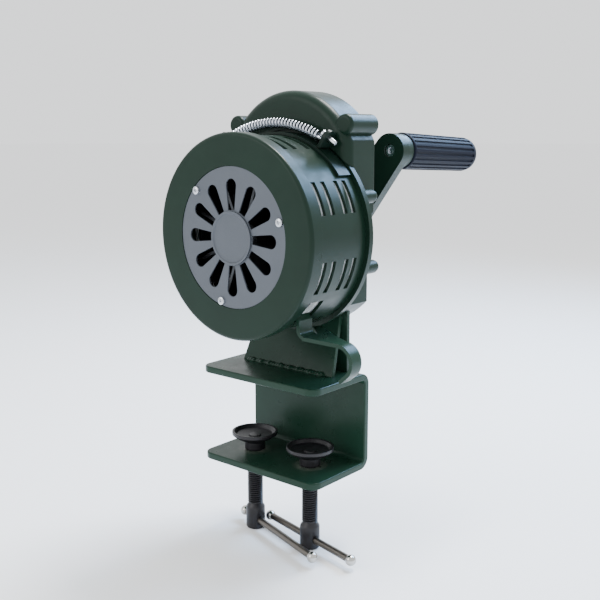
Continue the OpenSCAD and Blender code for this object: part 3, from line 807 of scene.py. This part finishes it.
def pan_screw(radius, height, recess):
    """A pan-head screw with a cross recess, its seat at the origin and its head up +Z.

    Sizes are in millimetres.
    """
    head = turned(
        [
            [0, 0],
            [radius, 0],
            [radius, height * 0.45],
            [radius * 0.93, height * 0.72],
            [radius * 0.74, height * 0.92],
            [radius * 0.4, height],
            [0, height],
        ],
        32,
    )
    for turn in (0, 90):
        bpy.ops.object.select_all(action="DESELECT")
        bpy.ops.mesh.primitive_cube_add(size=2 * MM)
        blade = bpy.context.object
        pick_faces(blade, lambda face: face.normal.z < -0.5)
        bpy.ops.transform.resize(value=(0.45, 0.6, 1))
        leave()
        blade.scale = (recess, recess * 0.22, height * 0.42)
        blade.rotation_euler.z = math.radians(turn)
        blade.location.z = height * 0.9 * MM
        carve(head, settle(blade))
    return smooth(head, 30)


def islands(node):
    """The middle, the lowest corner and the highest corner of each separate solid in a node."""
    mesh = frame["nodes"][node].data
    near = {}
    parent = list(range(len(mesh.vertices)))

    def root(i):
        while parent[i] != i:
            parent[i] = parent[parent[i]]
            i = parent[i]
        return i

    for vertex in mesh.vertices:
        key = tuple(round(c / MERGE_REACH) for c in vertex.co)
        if key in near:
            parent[root(vertex.index)] = root(near[key])
        near[key] = vertex.index
    for edge in mesh.edges:
        parent[root(edge.vertices[0])] = root(edge.vertices[1])
    groups = {}
    for vertex in mesh.vertices:
        groups.setdefault(root(vertex.index), []).append(vertex.co)
    found = []
    for points in groups.values():
        low = Vector([min(p[i] for p in points) for i in range(3)])
        high = Vector([max(p[i] for p in points) for i in range(3)])
        found.append(((low + high) / 2, low, high))
    return found


class SirenScrews(bpy.types.Operator):
    """Pan-head screws of the grille, the rear cover and the drum's flange"""

    bl_idname = "siren.screws"
    bl_label = "Screws"

    def execute(self, context):
        zinc = finishes()["zinc"]
        front, back = Vector((0, -1, 0)), Vector((0, 1, 0))
        self.group("grille_screws", 3.4, 2.0, 1.9, front, zinc)
        self.group("cover_screws", 5.0, 3.4, 2.8, back, zinc)
        self.group("flange_screws", 5.0, 3.6, 2.8, back, finishes()["enamel"])
        return {"FINISHED"}

    def group(self, node, radius, height, recess, way, material):
        """A finished head on each solid of a node, each turned a little further than the last."""
        seed = pan_screw(radius, height, recess)
        heads = []
        for i, (middle, low, high) in enumerate(islands(node)):
            face = low.y if way.y < 0 else high.y
            seat = Vector((middle.x, face, middle.z)) - way * height * MM
            turn = Matrix.Rotation(0.7 + i * 1.1, 4, "Z")
            heads.append(settle(twin(seed), frame_of(seat, way) @ turn))
        if len(heads) < 3:
            raise RuntimeError("The screws of " + node + " were not found")
        drop(seed)
        piece(join(heads), node + "_heads", material, body_of(node), slot_of(node), node)


# The spring's outside radius, the radius and the centre of the arc it lies on, in millimetres,
# and where it starts and stops on that arc, in degrees
COIL_OUTSIDE = 4.3
SPRING_ARC = 109.3
SPRING_CENTRE = (-6.5, -3, 104.9)
SPRING_ENDS = (64.5, 118)


class SirenSpring(bpy.types.Operator):
    """Coiled return spring with its end loops"""

    bl_idname = "siren.spring"
    bl_label = "Return spring"

    def execute(self, context):
        details = context.scene.siren_details
        wire = details.wire / MM
        turns = details.coil_turns
        coil_r = COIL_OUTSIDE - wire
        arc_r = SPRING_ARC
        centre = mm(*SPRING_CENTRE)
        start, stop = (math.radians(degrees) for degrees in SPRING_ENDS)
        length = arc_r * (stop - start)
        bpy.ops.object.select_all(action="DESELECT")
        bpy.ops.mesh.primitive_circle_add(
            vertices=10, radius=wire * MM, location=mm(coil_r, 0, -length / 2), rotation=(math.pi / 2, 0, 0)
        )
        coil = settle(bpy.context.object)
        modify(
            coil,
            "SCREW",
            axis="Z",
            angle=FULL_TURN,
            screw_offset=length * MM / turns,
            iterations=turns,
            steps=20,
            render_steps=20,
        )
        clean(coil)
        close_ends(coil)
        loops = []
        for side in (-1, 1):
            bpy.ops.object.select_all(action="DESELECT")
            bpy.ops.mesh.primitive_torus_add(
                major_radius=coil_r * MM,
                minor_radius=wire * MM,
                major_segments=28,
                minor_segments=10,
                rotation=(math.pi / 2, 0, 0),
                location=mm(0, 0, side * (length / 2 + coil_r - wire)),
            )
            loops.append(settle(bpy.context.object))
        spring = join([coil] + loops)
        reach = [v.co.z for v in spring.data.vertices]
        bend = (max(reach) - min(reach)) / (arc_r * MM)
        modify(spring, "SIMPLE_DEFORM", deform_method="BEND", deform_axis="X", angle=bend)
        middle = (start + stop) / 2
        inward = Vector((-math.cos(middle), 0, -math.sin(middle)))
        along = Vector((-math.sin(middle), 0, math.cos(middle)))
        matrix = Matrix((inward.cross(along), inward, along)).transposed().to_4x4()
        matrix.translation = centre - inward * arc_r * MM
        settle(spring, matrix)
        clean(spring)
        smooth(spring, 50)
        slot = slot_of("return_spring")
        piece(spring, "return_spring_coil", finishes()["wire"], None, slot, "return_spring")
        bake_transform(spring)
        return {"FINISHED"}


# How far each cross bar is turned about its screw, in degrees
BAR_TURNS = (("left", -17.2), ("right", -12.3))

# The clamp screws, in millimetres: the thread's radii, where it ends at the top, the radius of the
# head, the height of the cross bars and the radius of the hole that a bar slides in
THREAD_CREST, THREAD_ROOT = 6.97, 5.8
THREAD_TOP = -69.0
HEAD_RADIUS = 8.6
BAR_HEIGHT = -139.2
BAR_HOLE = 3.2


class SirenClampScrews(bpy.types.Operator):
    """Clamp screws with their threads, and their pads"""

    bl_idname = "siren.clamp_screws"
    bl_label = "Clamp screws"

    def execute(self, context):
        pitch = context.scene.siren_details.thread / MM
        for side, bar_degrees in BAR_TURNS:
            node = "clamp_screw_" + side
            low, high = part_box(node)
            axis = Vector(((low.x + high.x) / 2, (low.y + high.y) / 2, 0))
            self.screw(node, axis, low.z / MM, pitch, math.radians(bar_degrees))
            eased("pad_" + side, 0.5 * MM, finishes()["oxide"], 3, 30)
        return {"FINISHED"}

    def screw(self, node, axis, bottom, pitch, bar_turn):
        """A turned head with its bar's hole, a rolled thread above it and the pad's spigot on top."""
        crest, root = THREAD_CREST, THREAD_ROOT
        thread_low = bottom + 23
        head = turned(
            [
                [0, bottom],
                [HEAD_RADIUS - 1.4, bottom],
                [HEAD_RADIUS - 0.4, bottom + 0.5],
                [HEAD_RADIUS, bottom + 1.4],
                [HEAD_RADIUS, bottom + 19.2],
                [HEAD_RADIUS - 0.4, bottom + 20.4],
                [root + 0.1, thread_low + 0.6],
                [root + 0.1, thread_low + 2],
                [0, thread_low + 2],
            ]
        )
        bar = mm(axis.x / MM, axis.y / MM, 0)
        settle(head, Matrix.Translation(bar))
        bpy.ops.object.select_all(action="DESELECT")
        bpy.ops.mesh.primitive_cylinder_add(vertices=32, radius=BAR_HOLE * MM, depth=30 * MM)
        drill = bpy.context.object
        way = Vector((math.cos(bar_turn), math.sin(bar_turn), 0))
        settle(drill, frame_of(Vector((axis.x, axis.y, BAR_HEIGHT * MM)), way))
        carve(head, drill)
        modify(head, "BEVEL", width=0.3 * MM, segments=2, limit_method="ANGLE", angle_limit=math.radians(50))
        rows = int((THREAD_TOP - thread_low) / pitch)
        thread = trace(
            [[root, 0], [crest, pitch * 0.36], [crest, pitch * 0.52], [root, pitch * 0.88], [root, pitch]]
        )
        modify(
            thread,
            "SCREW",
            axis="Z",
            angle=FULL_TURN,
            screw_offset=pitch * MM,
            iterations=rows,
            steps=28,
            render_steps=28,
        )
        clean(thread)
        close_ends(thread)
        clean(thread)
        settle(thread, Matrix.Translation(bar + mm(0, 0, THREAD_TOP - (rows + 1) * pitch)))
        spigot = turned(
            [
                [0, -75],
                [4.9, -75],
                [4.9, -70],
                [4.5, -69],
                [4.5, -60.3],
                [5.6, -60.3],
                [5.3, -59.5],
                [3, -59.3],
                [0, -59.3],
            ]
        )
        settle(spigot, Matrix.Translation(bar))
        whole = join([head, thread, spigot])
        smooth(whole, 35)
        piece(whole, node + "_threaded", finishes()["oxide"], body_of(node), slot_of(node), node)


# The grip, in millimetres: its radius, where it starts along its axis, its length, the height of
# its domed end and the radius of its bore
GRIP_RADIUS = 16.0
GRIP_START = 6.9
GRIP_LENGTH = 118.0
GRIP_DOME = 8.0
GRIP_BORE = 4.1

# Faces round the grip for each rib and the groove beside it
FACES_PER_RIB = 6


class SirenGrip(bpy.types.Operator):
    """Ribbed grip of the crank"""

    bl_idname = "siren.grip"
    bl_label = "Grip"

    def execute(self, context):
        ribs = context.scene.siren_details.ribs
        radius, start, length, dome = GRIP_RADIUS, GRIP_START, GRIP_LENGTH, GRIP_DOME
        bore = GRIP_BORE
        per_rib = FACES_PER_RIB
        body = turned(
            [
                [bore, start],
                [radius - 1.2, start],
                [radius - 0.3, start + 0.6],
                [radius, start + 1.6],
                [radius, start + 2.4],
                [radius, start + length - dome - 1.4],
                [radius, start + length - dome],
                [radius - 0.6, start + length - 4],
                [radius - 2.2, start + length - 1.7],
                [radius - 5, start + length - 0.4],
                [radius - 8, start + length],
                [0, start + length],
                [0, start + length - 6],
                [bore, start + length - 6],
                [bore, start],
            ],
            ribs * per_rib,
        )
        step = FULL_TURN / (ribs * per_rib)

        def in_groove(face):
            """Whether a face of the straight outside lies in a groove."""
            middle = face.center / MM
            along = start + 2.5 < middle.z < start + length - dome - 1.5
            if not along or middle.xy.length < radius - 0.5:
                return False
            return int(math.atan2(middle.y, middle.x) / step + 1000 * per_rib) % per_rib < per_rib / 2

        pick_faces(body, in_groove)
        bpy.ops.mesh.inset(thickness=0.12 * MM, depth=-1.15 * MM, use_individual=False)
        leave()
        modify(body, "BEVEL", width=0.28 * MM, segments=2, limit_method="ANGLE", angle_limit=math.radians(35))
        settle(body, frame_of(GRIP_FOOT, GRIP_AXIS))
        smooth(body, 40)
        piece(body, "grip_ribbed", finishes()["grip"], body_of("grip"), slot_of("grip"), "grip")
        return {"FINISHED"}


class SirenWorks(bpy.types.Operator):
    """Finishes of the rotor, the gears, the shafts and the other carried-over parts"""

    bl_idname = "siren.works"
    bl_label = "Works"

    def execute(self, context):
        made = finishes()
        # The rotor takes the darkened alloy, which is painted shade for the inside of the horn.
        dress(made["cast"], "rotor")
        dress(made["sheet"], "shutter_sleeve")
        dress(made["bronze"], "layshaft_bushes", "crank_bushes")
        dress(made["ground"], "rotor_bearings", "rotor_shaft", "rotor_pinion", "layshaft", "layshaft_wheel")
        dress(made["ground"], "layshaft_pinion", "crankshaft", "crank_wheel", "rotor_nut")
        dress(made["enamel"], "ring_screws")
        dress(made["zinc"], "shutter_rivets")
        eased("pedestal_bolts", 0.35 * MM, made["zinc"], 2)
        eased("crank_nut", 0.45 * MM, made["zinc"], 2)
        eased("spring_screw", 0.35 * MM, made["zinc"], 2)
        eased("grip_spindle", 0.3 * MM, made["zinc"], 2)
        for side in ("left", "right"):
            dress(made["bar"], "cross_bar_" + side)
            dress(made["ball"], "bar_balls_" + side)
        return {"FINISHED"}


class SirenPanel(bpy.types.Panel):
    """Steps and settings of the siren"""

    bl_idname = "VIEW3D_PT_siren"
    bl_label = "Hand siren"
    bl_space_type = "VIEW_3D"
    bl_region_type = "UI"
    bl_category = "Siren"

    def draw(self, context):
        layout = self.layout
        for settings in (context.scene.siren_colours, context.scene.siren_details):
            box = layout.box()
            for name in settings.__annotations__:
                box.prop(settings, name)
        for step in STEPS:
            layout.operator(step.bl_idname)


STEPS = (
    SirenStage,
    SirenShells,
    SirenPlate,
    SirenWelds,
    SirenGrille,
    SirenScrews,
    SirenSpring,
    SirenClampScrews,
    SirenGrip,
    SirenWorks,
)
CLASSES = (SirenColours, SirenDetails) + STEPS + (SirenPanel,)


def register():
    for cls in CLASSES:
        bpy.utils.register_class(cls)
    bpy.types.Scene.siren_colours = PointerProperty(type=SirenColours)
    bpy.types.Scene.siren_details = PointerProperty(type=SirenDetails)


def unregister():
    del bpy.types.Scene.siren_details
    del bpy.types.Scene.siren_colours
    for cls in reversed(CLASSES):
        bpy.utils.unregister_class(cls)


def main():
    """Make the whole scene."""
    register()
    for step in STEPS:
        family, name = step.bl_idname.split(".")
        getattr(getattr(bpy.ops, family), name)()
    bpy.context.view_layer.update()


if __name__ == "__main__":
    main()
